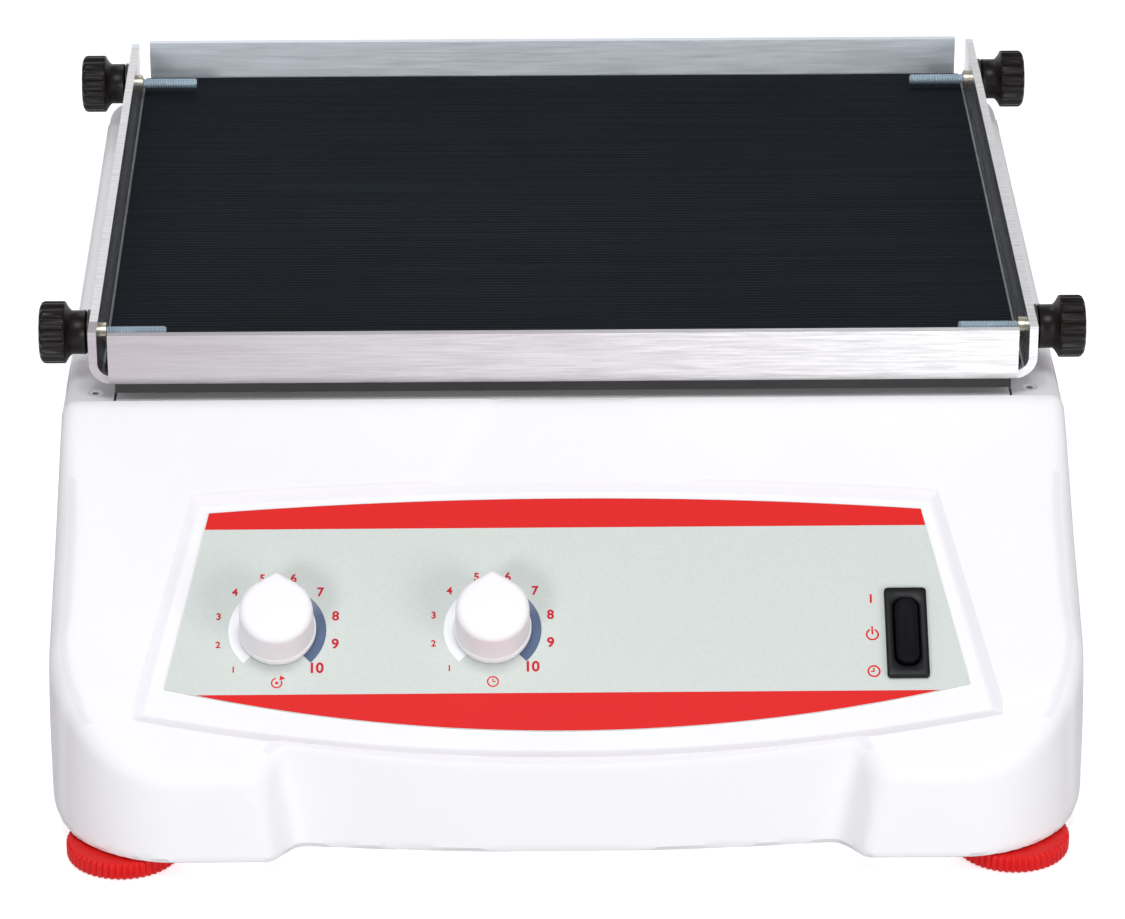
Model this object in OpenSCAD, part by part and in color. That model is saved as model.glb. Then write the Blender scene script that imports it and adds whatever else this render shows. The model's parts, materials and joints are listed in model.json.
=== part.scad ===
// Orbital shaker, benchtop, triple eccentric drive. Millimetres.
// Origin: centre of the footprint on the bench. +X right, +Y to the rear, +Z up.

/* [Case] */
// half width of the case at its widest
case_hw = 180; // [160:1:200]
// half width of the case at the deck
deck_hw = 177.6; // [158:0.2:198]
// front and rear faces
case_hd = 207; // [190:1:230]
// underside of the case
case_z = 7; // [5:1:15]
// top of the deck
deck_z = 123; // [110:1:140]
// wall thickness of the case
wall = 3.5; // [2.5:0.5:5]
// radius of the front corners in plan
corner_r = 46; // [20:1:60]
// lean of the front corner blocks from vertical
pod_lean = 12.5; // [0:0.5:20]

/* [Sloped control face] */
// where the slope meets the deck
slope_y = -80.6; // [-100:0.2:-60]
// angle of the slope above horizontal
slope_deg = 35.8; // [25:0.1:50]
// depth of the panel recess
recess = 1.6; // [0.5:0.1:3]
// thickness of the overlay sheet
overlay_t = 0.5; // [0.2:0.1:1]
// distance of the dial centres down the slope
dial_s = 90.1; // [80:0.2:100]
// dial positions across the panel
dial_x = [-100.5, -25.8];
// rocker switch position, across and down the slope
switch_at = [118, 93];

/* [Tray] */
// inside width of the tray
tray_w = 330; // [280:1:400]
// inside depth of the tray
tray_d = 279; // [240:1:340]
// sheet thickness
sheet = 3; // [1.5:0.5:4]
// underside of the tray
tray_z = 130; // [125:1:140]
// height of the tray walls
tray_h = 20; // [12:1:40]
// rubber mat thickness
mat_t = 3; // [1:0.5:5]
// height of the clamp screws
clamp_z = 141; // [136:0.5:150]
// clamp screws, distance of each pair from the tray centre
clamp_dy = [-119, 119];

/* [Drive] */
// radius of the circular motion
orbit_r = 9.5; // [3:0.5:15]
// mean position of the tray centre
orbit_y = 50.5; // [40:0.5:60]
// eccentric shafts, from the mean tray centre: main, left, right
shaft_at = [[0, -80], [-100, 40], [100, 40]];
// motor position, from the main shaft
motor_dx = -85; // [-100:1:-75]

/* [Feet] */
// foot positions from the middle
foot_at = [[-154, -186], [154, -186], [-154, 180], [154, 180]];
// foot radius
foot_r = 20; // [15:0.5:25]

/* [Hidden] */
$fn = 96;
tray_c = [0, orbit_y + orbit_r];
shafts = [for (p = shaft_at) [p[0], p[1] + orbit_y]];
motor = [shafts[0][0] + motor_dx, shafts[0][1]];
rail_x = 159.8;
rail_z = 117.6;
deck_t = 3.2;
hole_r = 30;
pin_r = 6;
shaft_r = 7.5;
run = 0.05;
floor_z = 11;
plate_z = 78;
carrier_z = 126.3;
cup_r = 18;
belt_r = [44, 11];
clamps = [[-1, 0], [1, 0], [-1, 1], [1, 1]];

white = [0.93, 0.93, 0.95];
steel = [0.72, 0.73, 0.75];
alu = [0.80, 0.81, 0.83];
black = [0.10, 0.09, 0.09];
red = [0.86, 0.16, 0.15];

// ---- helpers ----

// prism of a side profile drawn in Y and Z, centred on X
module along_x(w) {
  translate([-w / 2, 0, 0]) rotate([90, 0, 90]) linear_extrude(w) children();
}

// prism of a front profile drawn in X and Z, from y0 to y1
module along_y(y0, y1) {
  translate([0, y1, 0]) rotate([90, 0, 0]) linear_extrude(y1 - y0) children();
}

// local frame of the sloped face: X across, Y up the slope, Z outwards
module on_slope() {
  translate([0, slope_y, deck_z]) rotate([slope_deg, 0, 0]) children();
}

// local frame of a clamp screw: Z points outwards along its axis
module at_clamp(c) {
  translate([0, tray_c[1] + clamp_dy[c[1]], clamp_z])
    rotate([0, 90 * c[0], 0]) children();
}

module ring(r_out, r_in, h) {
  difference() {
    cylinder(r = r_out, h = h);
    translate([0, 0, -1]) cylinder(r = r_in, h = h + 2);
  }
}

// y of the sloped face, moved inwards by d, at height z
function slope_at(z, d) =
  slope_y + (cos(slope_deg) * (z - deck_z) + d) / sin(slope_deg);

// front view of the case, half width hw at each height, inset by d
module front_view(d, top) {
  r = 9 - d;
  w = case_hw - d;
  t = deck_hw - d;
  b = case_z - (d > 0 ? 5 : 0);
  hull_y = 42;
  polygon([[-t, top - 5], [-w, hull_y], [-w + 1.2, b + r], [-w + 1.2 + r, b],
    [w - 1.2 - r, b], [w - 1.2, b + r], [w, hull_y], [t, top - 5], [t - 5, top], [-t + 5, top]]);
  for (s = [-1, 1]) {
    translate([s * (t - 5), top - 5]) circle(r = 5);
    translate([s * (w - 1.2 - r), b + r]) circle(r = r);
  }
}

// solid form of the case, every face moved inwards by d
module case_form(d) {
  top = d > 0 ? deck_z + 12 : deck_z;
  b = case_z - (d > 0 ? 5 : 0);
  difference() {
    intersection() {
      along_x(400)
        polygon([[slope_at(top, d), top], [slope_at(b, d), b], [case_hd - d, b],
          [case_hd - d, top]]);
      along_y(-230, 230) front_view(d, top);
      leaning_front(d);
      rear_plan(d);
    }
    fascia_cut(d);
  }
}

// the front faces lean back, and their corners are round about the leaning axis
module leaning_front(d) {
  r = corner_r - d;
  w = case_hw - d;
  translate([0, -case_hd + 0.3, case_z]) rotate([-pod_lean, 0, 0])
    translate([0, 0, -60]) linear_extrude(330) {
      translate([-w + r, d]) square([2 * (w - r), r]);
      translate([-w, d + r]) square([2 * w, 500]);
      for (s = [-1, 1]) translate([s * (w - r), d + r]) circle(r = r);
    }
}

module rear_plan(d) {
  r = 22 - d;
  w = case_hw - d;
  y = case_hd - d;
  translate([0, 0, -10]) linear_extrude(160) {
    translate([-w, -240]) square([2 * w, 240 + y - r]);
    translate([-w + r, 0]) square([2 * (w - r), y]);
    for (s = [-1, 1]) translate([s * (w - r), y - r]) circle(r = r);
  }
}

// between the corner blocks the face is set back and gently bowed
module fascia_cut(d) {
  translate([0, -201 + d, case_z]) rotate([-9.6, 0, 0]) translate([0, 0, -30])
    linear_extrude(110) difference() {
      polygon([[-115 - d, -14], [115 + d, -14], [96.5 + d, 9], [-96.5 - d, 9]]);
      translate([0, 790]) circle(r = 790, $fn = 360);
    }
}

// panel outlines on the slope: top half width, bottom half width, their distances down the
// slope, and the crown of the top and bottom arcs
module panel_2d(wt, wb, st, sb, crown_t, crown_b) {
  rt = (wt * wt + crown_t * crown_t) / (2 * crown_t);
  rb = (wb * wb + crown_b * crown_b) / (2 * crown_b);
  k = (wb - wt) / (sb - st);
  intersection() {
    polygon([[-wt + k * 10, -st + 10], [wt - k * 10, -st + 10],
      [wb + k * 20, -sb - 20], [-wb - k * 20, -sb - 20]]);
    translate([0, -st + crown_t - rt]) circle(r = rt, $fn = 720);
    translate([0, -sb - crown_b + rb]) circle(r = rb, $fn = 720);
  }
}

module frame_2d() { panel_2d(130.8, 150.4, 38, 124.8, 5.2, 15.6); }
module overlay_2d() { panel_2d(125.2, 139.3, 43.8, 112.4, 5, 17); }

// ---- case ----

module housing_shell() {
  color(white) difference() {
    case_form(0);
    case_form(wall);
    // seat of the deck and its side rails
    translate([-200, slope_y + 0.9, rail_z - 0.3]) cube([400, 320, 20]);
    // panel recess, dial and switch openings
    on_slope() {
      translate([0, 0, -recess]) linear_extrude(10) frame_2d();
      for (x = dial_x) translate([x, -dial_s, -12]) cylinder(r = 4.8, h = 14);
      translate([switch_at[0] - 6.3, -switch_at[1] - 15.3, -12]) cube([12.6, 30.6, 14]);
    }
    // power inlet pocket and opening, vents
    translate([110 - 26.2, case_hd - 2.1, 45 - 16.2]) cube([52.4, 4, 32.4]);
    translate([110 - 15, case_hd - 10, 45 - 14.2]) cube([30, 12, 28.4]);
    for (i = [0:9]) translate([-140 + 9 * i, case_hd - 10, 35]) cube([3.5, 12, 40]);
  }
}

module side_rail(s) {
  color(white) difference() {
    union() {
      intersection() {
        case_form(0);
        translate([s > 0 ? rail_x : -rail_x - 30, slope_y + 1.4, rail_z]) cube([30, 320, 20]);
      }
      translate([s > 0 ? 150 : -rail_x - 2, slope_y + 20, rail_z]) cube([rail_x - 148, 255, 2]);
    }
    for (y = [-72, 60, 192])
      translate([s * 166.5, y, 119.6]) cylinder(r = 2.7, h = 5);
  }
}

module side_rail_left() { side_rail(-1); }
module side_rail_right() { side_rail(1); }

module deck_panel() {
  hw = rail_x - 0.9;
  color(white) difference() {
    union() {
      translate([-hw, slope_y + 1.4, deck_z - deck_t])
        cube([2 * hw, case_hd - slope_y - 1.4, deck_t]);
      translate([-140, case_hd - 3, rail_z]) cube([280, 3, 4]);
      for (p = shafts) translate([p[0], p[1], rail_z - 4]) cylinder(r = hole_r + 3, h = 7);
    }
    for (p = shafts) translate([p[0], p[1], rail_z - 5]) cylinder(r = hole_r, h = 12);
  }
}

module case_screws() {
  color(steel) {
    for (s = [-1, 1], y = [-72, 60, 192]) translate([s * 166.5, y, 119.6]) difference() {
      cylinder(r = 2.6, h = 3.3);
      translate([0, 0, 2.2]) cylinder(r = 1.3, h = 2, $fn = 6);
    }
    for (x = [-165, 165], y = [-120, 0, 120]) translate([x, y, 7.6]) cylinder(r = 3, h = 1.6);
    for (x = [-60, 60], y = [-185, 192]) translate([x, y, 7.6]) cylinder(r = 3, h = 1.6);
  }
}

module base_plate() {
  color(steel) difference() {
    intersection() {
      case_form(wall + 0.4);
      translate([-200, -230, floor_z - 1.8]) cube([400, 460, 1.8]);
    }
    for (p = foot_at) translate([p[0], p[1], 0]) cylinder(r = 7.1, h = 20);
    for (i = [-4:4]) translate([i * 12 - 1.5, 60, 0]) cube([3, 60, 20]);
  }
}

// ---- control panel ----

module panel_overlay() {
  color([0.84, 0.86, 0.85]) on_slope() difference() {
    translate([0, 0, -recess]) linear_extrude(overlay_t) overlay_2d();
    for (x = dial_x) translate([x, -dial_s, -5]) cylinder(r = 4.8, h = 8);
    translate([switch_at[0] - 6.3, -switch_at[1] - 15.3, -5]) cube([12.6, 30.6, 8]);
  }
}

module potentiometer(i) {
  color(steel) on_slope() translate([dial_x[i], -dial_s, 0]) difference() {
    union() {
      translate([0, 0, -17]) cylinder(r = 12, h = 13.2);
      translate([0, 0, -4]) cylinder(r = 4.7, h = 5.5);
      translate([0, 0, -recess + overlay_t]) cylinder(r = 7.2, h = 2, $fn = 6);
      for (x = [-5, 0, 5]) translate([x - 1, -17, -14]) cube([2, 8, 0.8]);
    }
    translate([0, 0, -13.5]) cylinder(r = 3 + run, h = 20);
  }
}

module speed_potentiometer() { potentiometer(0); }
module time_potentiometer() { potentiometer(1); }

// grip with a pointed nose that shows the setting, and its spindle
module dial_knob(i) {
  base = -recess + overlay_t + 0.5;
  color(white) on_slope() translate([dial_x[i], -dial_s, base]) {
    difference() {
      union() {
        cylinder(r = 13.5, h = 2.5);
        cylinder(r = 13, h = 16.2);
        translate([0, 0, 16.2]) cylinder(r1 = 13, r2 = 12.2, h = 0.8);
        linear_extrude(16.6) polygon([[-6.9, 11.02], [6.9, 11.02], [0, 15.4]]);
      }
      translate([0, 0, -1]) cylinder(r = 10.5, h = 7);
      translate([0, 0, 16.6]) cylinder(r = 10.6, h = 2);
    }
    translate([0, 0, -12]) cylinder(r = 3, h = 20);
  }
}

module speed_knob() { dial_knob(0); }
module time_knob() { dial_knob(1); }

module at_switch() {
  on_slope() translate([switch_at[0], -switch_at[1], 0]) children();
}

module rounded_rect(w, h, r) {
  square([w - 2 * r, h], center = true);
  square([w, h - 2 * r], center = true);
  for (x = [-1, 1], y = [-1, 1])
    translate([x * (w / 2 - r), y * (h / 2 - r)]) circle(r = r);
}

module switch_bezel() {
  color(black) at_switch() difference() {
    union() {
      translate([0, 0, -recess + overlay_t]) linear_extrude(1.9) rounded_rect(14.7, 34.7, 1.2);
      translate([-6.2, -15.2, -18]) cube([12.4, 30.4, 18]);
      for (y = [-9, 0, 9]) translate([-2.4, y - 0.4, -25]) cube([4.8, 0.8, 8]);
    }
    translate([-4.3, 0, -1]) rotate([0, 90, 0]) cylinder(r = 13.9, h = 8.6);
  }
}

module rocker() {
  color([0.16, 0.15, 0.15]) at_switch() translate([0, 0, -1]) intersection() {
    translate([-3.95, 0, 0]) rotate([0, 90, 0]) cylinder(r = 13.5, h = 7.9);
    along_x(20) polygon([[-14, -4], [-4, -9], [4, -9], [14, -4], [14, 4.1], [5, 3.1],
      [0, 2.7], [-5, 3.1], [-14, 4.1]]);
  }
}

// ---- electronics ----

module control_board() {
  color([0.10, 0.35, 0.20]) translate([-120, -172, 17]) cube([180, 56, 1.6]);
}

module board_components() {
  color([0.15, 0.15, 0.17]) translate([0, 0, 18.6]) {
    translate([-112, -165, 0]) cube([30, 20, 14]);
    translate([-70, -164, 0]) cube([22, 22, 4]);
    for (x = [-34, -18, -2]) translate([x, -130, 0]) cylinder(r = 6, h = 16);
    translate([16, -165, 0]) cube([12, 40, 20]);
    translate([36, -165, 0]) cube([18, 10, 10]);
  }
}

module standoffs() {
  color(steel) {
    for (x = [-116, 56], y = [-168, -120])
      translate([x, y, floor_z]) cylinder(r = 3, h = 6, $fn = 6);
    for (x = [25, 110], y = [110, 160])
      translate([x, y, floor_z]) cylinder(r = 3, h = 4, $fn = 6);
    for (x = [-130, 130], y = [-62, 140])
      translate([x, y, floor_z]) cylinder(r = 6, h = plate_z - floor_z);
  }
}

module power_supply() {
  color(alu) translate([20, 105, floor_z + 4]) difference() {
    cube([95, 60, 31]);
    for (i = [0:6]) translate([12 + 11 * i, 8, 20]) cube([4, 44, 12]);
  }
}

module power_inlet() {
  color(black) translate([110, case_hd, 45]) difference() {
    union() {
      translate([-26, -2, -16]) cube([52, 2, 32]);
      translate([-14.8, -24, -14]) cube([29.6, 22, 28]);
    }
    translate([-12.2, -17, -5.5]) cube([24.4, 18, 16.6]);
    translate([-11.2, -18, -13.2]) cube([22.4, 19, 6]);
    for (x = [-20.5, 20.5]) translate([x, -4, 0]) rotate([-90, 0, 0]) cylinder(r = 1.7, h = 6);
  }
  color(steel) for (p = [[-7, 4], [0, 0.5], [7, 4]])
    translate([110 + p[0] - 1, case_hd - 18, 45 + p[1] - 2]) cube([2, 12, 4]);
}

module fuse_drawer() {
  color([0.18, 0.18, 0.19]) translate([110 - 11, case_hd - 16, 45 - 13]) difference() {
    cube([22, 16, 5.6]);
    translate([7, 14.8, -1]) cube([8, 2, 3]);
  }
}

module wiring_harness() {
  color([0.15, 0.15, 0.16]) {
    translate([68, -116, 21]) rotate([-90, 0, 0]) cylinder(r = 3, h = 220.9);
    translate([68, -116, 21]) sphere(r = 3);
    translate([60.5, -116, 21]) rotate([0, 90, 0]) cylinder(r = 3, h = 7.5);
    translate([106, 166, 40]) rotate([-90, 0, 0]) cylinder(r = 3, h = 16);
    translate([-100, -119, 21.6]) cylinder(r = 2.5, h = 28);
    translate([-26, -119, 21.6]) cylinder(r = 2.5, h = 28);
  }
}

// ---- drive ----

module chassis_plate() {
  color(steel) difference() {
    union() {
      translate([-142, -74, plate_z]) cube([284, 226, 4]);
      translate([motor[0] - 38, motor[1] - 36, 44]) cube([76, 72, 4]);
      for (x = [-38, 34]) translate([motor[0] + x, motor[1] - 36, 44]) cube([4, 72, 36]);
    }
    for (p = shafts) translate([p[0], p[1], plate_z - 1]) cylinder(r = 23.1, h = 6);
    translate([motor[0], motor[1], plate_z - 1]) cylinder(r = 31, h = 6);
    translate([motor[0], motor[1], 43]) cylinder(r = 7, h = 6);
  }
}

module bearing_housings() {
  color(alu) for (p = shafts) translate([p[0], p[1], 0]) difference() {
    union() {
      translate([0, 0, 50]) cylinder(r = 23, h = 46);
      translate([0, 0, plate_z + 4]) cylinder(r = 34, h = 5);
    }
    translate([0, 0, 51.5]) cylinder(r = 17.52, h = 50);
    translate([0, 0, 49]) cylinder(r = 12, h = 10);
    for (a = [45:90:315]) rotate(a) translate([28.5, 0, 80]) cylinder(r = 2.2, h = 10);
  }
}

module shaft_bearings() {
  color(steel) for (p = shafts, z = [51.6, 84.5]) translate([p[0], p[1], z]) difference() {
    cylinder(r = 17.5, h = 11);
    translate([0, 0, -1]) cylinder(r = shaft_r + run, h = 13);
    for (f = [-0.1, 10.4]) translate([0, 0, f]) ring(15, 10, 0.7);
  }
}

// eccentric: shaft, disc and pin turned from one bar, z0 is the lower end of the shaft
module eccentric(z0) {
  translate([0, 0, z0]) cylinder(r = shaft_r, h = 99 - z0);
  translate([0, 0, 98.5]) cylinder(r = 22, h = 7.5);
  translate([0, orbit_r, 105]) cylinder(r = pin_r, h = 17);
}

module main_shaft() {
  color(steel) translate([shafts[0][0], shafts[0][1], 0]) eccentric(22);
}
module idler_crank_left() {
  color(steel) translate([shafts[1][0], shafts[1][1], 0]) eccentric(48);
}
module idler_crank_right() {
  color(steel) translate([shafts[2][0], shafts[2][1], 0]) eccentric(48);
}

module counterweight() {
  color([0.35, 0.35, 0.37]) translate([shafts[0][0], shafts[0][1], 98.8]) rotate(-145)
    rotate_extrude(angle = 110) translate([22.05, 0]) square([26, 7]);
}

module pulley(r, bore, hub) {
  difference() {
    union() {
      cylinder(r = r, h = 12);
      cylinder(r = r + 3, h = 2);
      translate([0, 0, 10]) cylinder(r = r + 3, h = 2);
      cylinder(r = hub, h = 17);
    }
    translate([0, 0, -1]) cylinder(r = bore, h = 20);
  }
}

module driven_pulley() {
  color(alu) translate([shafts[0][0], shafts[0][1], 26]) difference() {
    pulley(belt_r[0], shaft_r, 14);
    for (a = [0:60:300]) rotate(a) translate([28, 0, -1]) cylinder(r = 8, h = 14);
  }
}

module motor_pulley() {
  color(alu) translate([motor[0], motor[1], 26]) pulley(belt_r[1], 4, 8);
}

module motor_shaft() {
  color(steel) translate([motor[0], motor[1], 20]) cylinder(r = 4, h = 52);
}

module motor_body() {
  color([0.22, 0.23, 0.25]) translate([motor[0], motor[1], 48]) difference() {
    union() {
      cylinder(r = 30, h = 40);
      translate([0, 0, 40]) cylinder(r = 26, h = 5);
    }
    translate([0, 0, -1]) cylinder(r = 4 + run, h = 28);
    for (a = [0:30:330]) rotate(a) translate([30.5, 0, 6]) cylinder(r = 1.6, h = 30);
  }
}

// flat loop round both pulleys, offset g outside their seats
module belt_2d(g) {
  d = -motor_dx;
  r1 = belt_r[0] + g;
  r2 = belt_r[1] + g;
  a = acos((r1 - r2) / d);
  circle(r = r1);
  translate([-d, 0]) circle(r = r2);
  polygon([[-r1 * cos(a), r1 * sin(a)], [-d - r2 * cos(a), r2 * sin(a)],
    [-d - r2 * cos(a), -r2 * sin(a)], [-r1 * cos(a), -r1 * sin(a)]]);
}

module drive_belt() {
  color(black) translate([shafts[0][0], shafts[0][1], 28.4]) linear_extrude(7.2) difference() {
    belt_2d(1.9);
    belt_2d(0.3);
  }
}

// ---- platform ----

module carrier_plate() {
  h = tray_z - carrier_z;
  color(black) difference() {
    union() {
      translate([-159, tray_c[1] - 139, carrier_z]) cube([318, 277, h]);
      for (p = shafts) translate([p[0], p[1] + orbit_r, 112]) cylinder(r = cup_r, h = 15);
    }
    for (p = shafts) translate([p[0], p[1] + orbit_r, 0]) {
      translate([0, 0, 113]) cylinder(r = 14.02, h = 12);
      translate([0, 0, 111]) cylinder(r = 11, h = 5);
    }
  }
}

module platform_bearings() {
  color(steel) for (p = shafts) translate([p[0], p[1] + orbit_r, 113.1]) difference() {
    cylinder(r = 14, h = 8);
    translate([0, 0, -1]) cylinder(r = pin_r + run, h = 10);
    for (f = [-0.1, 7.5]) translate([0, 0, f]) ring(12, 8, 0.6);
  }
}

// folded sheet trough: inside width w, corner radius r inside the bend
module trough_2d(w, r) {
  o = w / 2 + sheet;
  i = w / 2;
  ro = r + sheet;
  difference() {
    union() {
      translate([-o, ro]) square([2 * o, tray_h - ro]);
      translate([-o + ro, 0]) square([2 * (o - ro), tray_h]);
      for (s = [-1, 1]) translate([s * (o - ro), ro]) circle(r = ro);
    }
    translate([-i, ro]) square([2 * i, tray_h]);
    translate([-i + r, sheet]) square([2 * (i - r), tray_h]);
    for (s = [-1, 1]) translate([s * (i - r), ro]) circle(r = r);
  }
}

module tray() {
  color(alu) translate([0, tray_c[1], tray_z]) difference() {
    union() {
      along_y(-tray_d / 2, tray_d / 2) trough_2d(tray_w, 5);
      along_x(322) trough_2d(tray_d, 1);
    }
    for (s = [-1, 1], y = clamp_dy)
      translate([s * 168, y, clamp_z - tray_z]) rotate([0, 90, 0])
        cylinder(r = 3.42, h = 12, center = true);
    for (x = [-120, 120], y = [-80, 80]) translate([x, y, -1]) cylinder(r = 4.05, h = 6);
  }
}

module tray_screws() {
  color(steel) for (x = [-120, 120], y = [-80, 80])
    translate([x, tray_c[1] + y, tray_z]) difference() {
      cylinder(r = 4, h = 2.9);
      translate([0, 0, 1.4]) cylinder(r = 2, h = 2, $fn = 6);
    }
}

// the mat reaches the clamp inserts, its lower edges follow the bends of the tray
module mat_2d() {
  w = tray_w / 2 - 2;
  intersection() {
    translate([-w, sheet]) square([2 * w, mat_t]);
    hull() for (s = [-1, 1]) translate([s * (w - 5), sheet + 5]) circle(r = 5);
  }
}

module mat() {
  color([0.11, 0.13, 0.17]) translate([0, tray_c[1], tray_z])
    along_y(-tray_d / 2 + 1.2, tray_d / 2 - 1.2) mat_2d();
}

module clamp_inserts() {
  color([0.80, 0.72, 0.50]) for (c = clamps) at_clamp(c)
    translate([0, 0, tray_w / 2 - 2.2]) ring(3.4, 2 + run, sheet + 2.2);
}

module clamp_washer(c) {
  color([0.20, 0.19, 0.18]) at_clamp(c)
    translate([0, 0, tray_w / 2 + sheet + 0.3]) ring(8, 2 + run, 1);
}

module clamp_stud(c) {
  color(steel) at_clamp(c) translate([0, 0, 141.5]) {
    cylinder(r1 = 1.5, r2 = 2, h = 0.6);
    translate([0, 0, 0.6]) cylinder(r = 2, h = 36);
  }
}

module clamp_knob(c) {
  base = tray_w / 2 + sheet + 1.6;
  color([0.13, 0.11, 0.10]) at_clamp(c) difference() {
    union() {
      translate([0, 0, base]) cylinder(r = 8, h = 8);
      translate([0, 0, 175.4]) cylinder(r1 = 8, r2 = 11.2, h = 2.2);
      translate([0, 0, 177.6]) cylinder(r = 11.2, h = 7.4);
      translate([0, 0, 185]) cylinder(r1 = 11.2, r2 = 8.6, h = 1.5);
    }
    for (a = [0:22.5:337.5]) rotate(a) translate([11.9, 0, 174]) cylinder(r = 1.25, h = 14);
    translate([0, 0, base - 1]) cylinder(r = 2, h = 179.4 - base);
  }
}

module clamp_washer_fl() { clamp_washer(clamps[0]); }
module clamp_washer_fr() { clamp_washer(clamps[1]); }
module clamp_washer_rl() { clamp_washer(clamps[2]); }
module clamp_washer_rr() { clamp_washer(clamps[3]); }
module clamp_stud_fl() { clamp_stud(clamps[0]); }
module clamp_stud_fr() { clamp_stud(clamps[1]); }
module clamp_stud_rl() { clamp_stud(clamps[2]); }
module clamp_stud_rr() { clamp_stud(clamps[3]); }
module clamp_knob_fl() { clamp_knob(clamps[0]); }
module clamp_knob_fr() { clamp_knob(clamps[1]); }
module clamp_knob_rl() { clamp_knob(clamps[2]); }
module clamp_knob_rr() { clamp_knob(clamps[3]); }

// ---- levelling feet ----

module foot_bushings() {
  color(steel) for (p = foot_at) translate([p[0], p[1], 0]) {
    // the front pair stands close to the leaning wall
    translate([0, 0, 8.8]) ring(7, 4 + run, p[1] < 0 ? 12.4 : 25);
    translate([0, 0, floor_z]) ring(p[1] < 0 ? 8.4 : 12, 7, 2.5);
  }
}

module foot_pad(i) {
  color([0.15, 0.15, 0.15]) translate([foot_at[i][0], foot_at[i][1], 0])
    cylinder(r = foot_r - 4, h = 1);
}

// ribbed wheel, hollowed below so that it covers the edge of the pad
module foot_wheel(i) {
  color(red) translate([foot_at[i][0], foot_at[i][1], 1.3]) {
    difference() {
      union() {
        translate([0, 0, -0.9]) cylinder(r1 = foot_r - 0.8, r2 = foot_r, h = 0.8);
        translate([0, 0, -0.1]) cylinder(r = foot_r, h = 5.4);
      }
      translate([0, 0, -2]) cylinder(r = foot_r - 3, h = 2);
      for (a = [0:10:350]) rotate(a) translate([foot_r + 0.35, 0, -2]) cylinder(r = 0.9, h = 9);
    }
    cylinder(r = 4, h = 30);
  }
}

module foot_pad_fl() { foot_pad(0); }
module foot_pad_fr() { foot_pad(1); }
module foot_pad_rl() { foot_pad(2); }
module foot_pad_rr() { foot_pad(3); }
module foot_wheel_fl() { foot_wheel(0); }
module foot_wheel_fr() { foot_wheel(1); }
module foot_wheel_rl() { foot_wheel(2); }
module foot_wheel_rr() { foot_wheel(3); }

// ---- assembly ----

housing_shell();
side_rail_left();
side_rail_right();
deck_panel();
case_screws();
base_plate();
panel_overlay();
speed_potentiometer();
time_potentiometer();
switch_bezel();
control_board();
board_components();
standoffs();
power_supply();
power_inlet();
fuse_drawer();
chassis_plate();
bearing_housings();
shaft_bearings();
motor_body();
drive_belt();
foot_bushings();
wiring_harness();
main_shaft();
driven_pulley();
counterweight();
idler_crank_left();
idler_crank_right();
motor_shaft();
motor_pulley();
carrier_plate();
platform_bearings();
tray();
tray_screws();
mat();
clamp_inserts();
speed_knob();
time_knob();
rocker();
clamp_washer_fl();
clamp_knob_fl();
clamp_stud_fl();
clamp_washer_fr();
clamp_knob_fr();
clamp_stud_fr();
clamp_washer_rl();
clamp_knob_rl();
clamp_stud_rl();
clamp_washer_rr();
clamp_knob_rr();
clamp_stud_rr();
foot_pad_fl();
foot_wheel_fl();
foot_pad_fr();
foot_wheel_fr();
foot_pad_rl();
foot_wheel_rl();
foot_pad_rr();
foot_wheel_rr();
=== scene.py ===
"""Looks of the benchtop orbital shaker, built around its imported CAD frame. Blender 4.5, metres."""
import json
import math
import bmesh
import bpy
import numpy as np
from mathutils import Matrix, Vector


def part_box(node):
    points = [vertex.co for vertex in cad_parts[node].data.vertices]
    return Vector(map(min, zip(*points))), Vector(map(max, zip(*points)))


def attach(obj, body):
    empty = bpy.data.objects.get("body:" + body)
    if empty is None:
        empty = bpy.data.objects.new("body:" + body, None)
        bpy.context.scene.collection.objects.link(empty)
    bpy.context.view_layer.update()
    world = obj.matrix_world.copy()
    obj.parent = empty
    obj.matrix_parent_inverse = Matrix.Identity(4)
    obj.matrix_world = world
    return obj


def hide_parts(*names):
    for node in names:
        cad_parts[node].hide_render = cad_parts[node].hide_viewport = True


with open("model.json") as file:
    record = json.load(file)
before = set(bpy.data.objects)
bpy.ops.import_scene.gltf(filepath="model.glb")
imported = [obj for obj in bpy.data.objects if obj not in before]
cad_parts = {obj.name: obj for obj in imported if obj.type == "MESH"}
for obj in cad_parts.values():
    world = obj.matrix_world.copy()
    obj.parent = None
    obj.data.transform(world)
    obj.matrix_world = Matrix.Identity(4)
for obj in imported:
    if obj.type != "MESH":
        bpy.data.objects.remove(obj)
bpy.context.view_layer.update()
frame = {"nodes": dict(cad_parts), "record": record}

NODES = frame["nodes"]
MM = 0.001
SCENE = bpy.context.scene


# ---------------------------------------------------------------- view and light

CAMERA_AT = Vector((-0.027, -1.8119, 0.9367))
CAMERA_PITCH, CAMERA_YAW = math.radians(25.80), math.radians(0.88)
LENS, SENSOR = 172.39, 36
WORLD_TINT, WORLD_STRENGTH = (1, 0.955, 1, 1), 0.37
# name, place, what it points at, size in metres, watts, colour
LIGHTS = (
    ("top", (0.0, -1.0, 2.0), (0, -0.1, 0.1), (0.8, 0.6), 18.5, (0.97, 1, 0.98)),
    ("left", (-0.9, -2.1, 0.6), (0, -0.1, 0.1), (0.6, 0.5), 15, (0.98, 1, 0.99)),
    ("right", (1.3, -1.7, 0.45), (0, -0.1, 0.1), (1.0, 0.8), 14.5, (0.98, 1, 0.99)),
    ("back", (-0.7, 1.5, 1.9), (0, 0.1, 0.1), (1.0, 0.7), 6, (0.98, 1, 0.99)),
)
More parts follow.
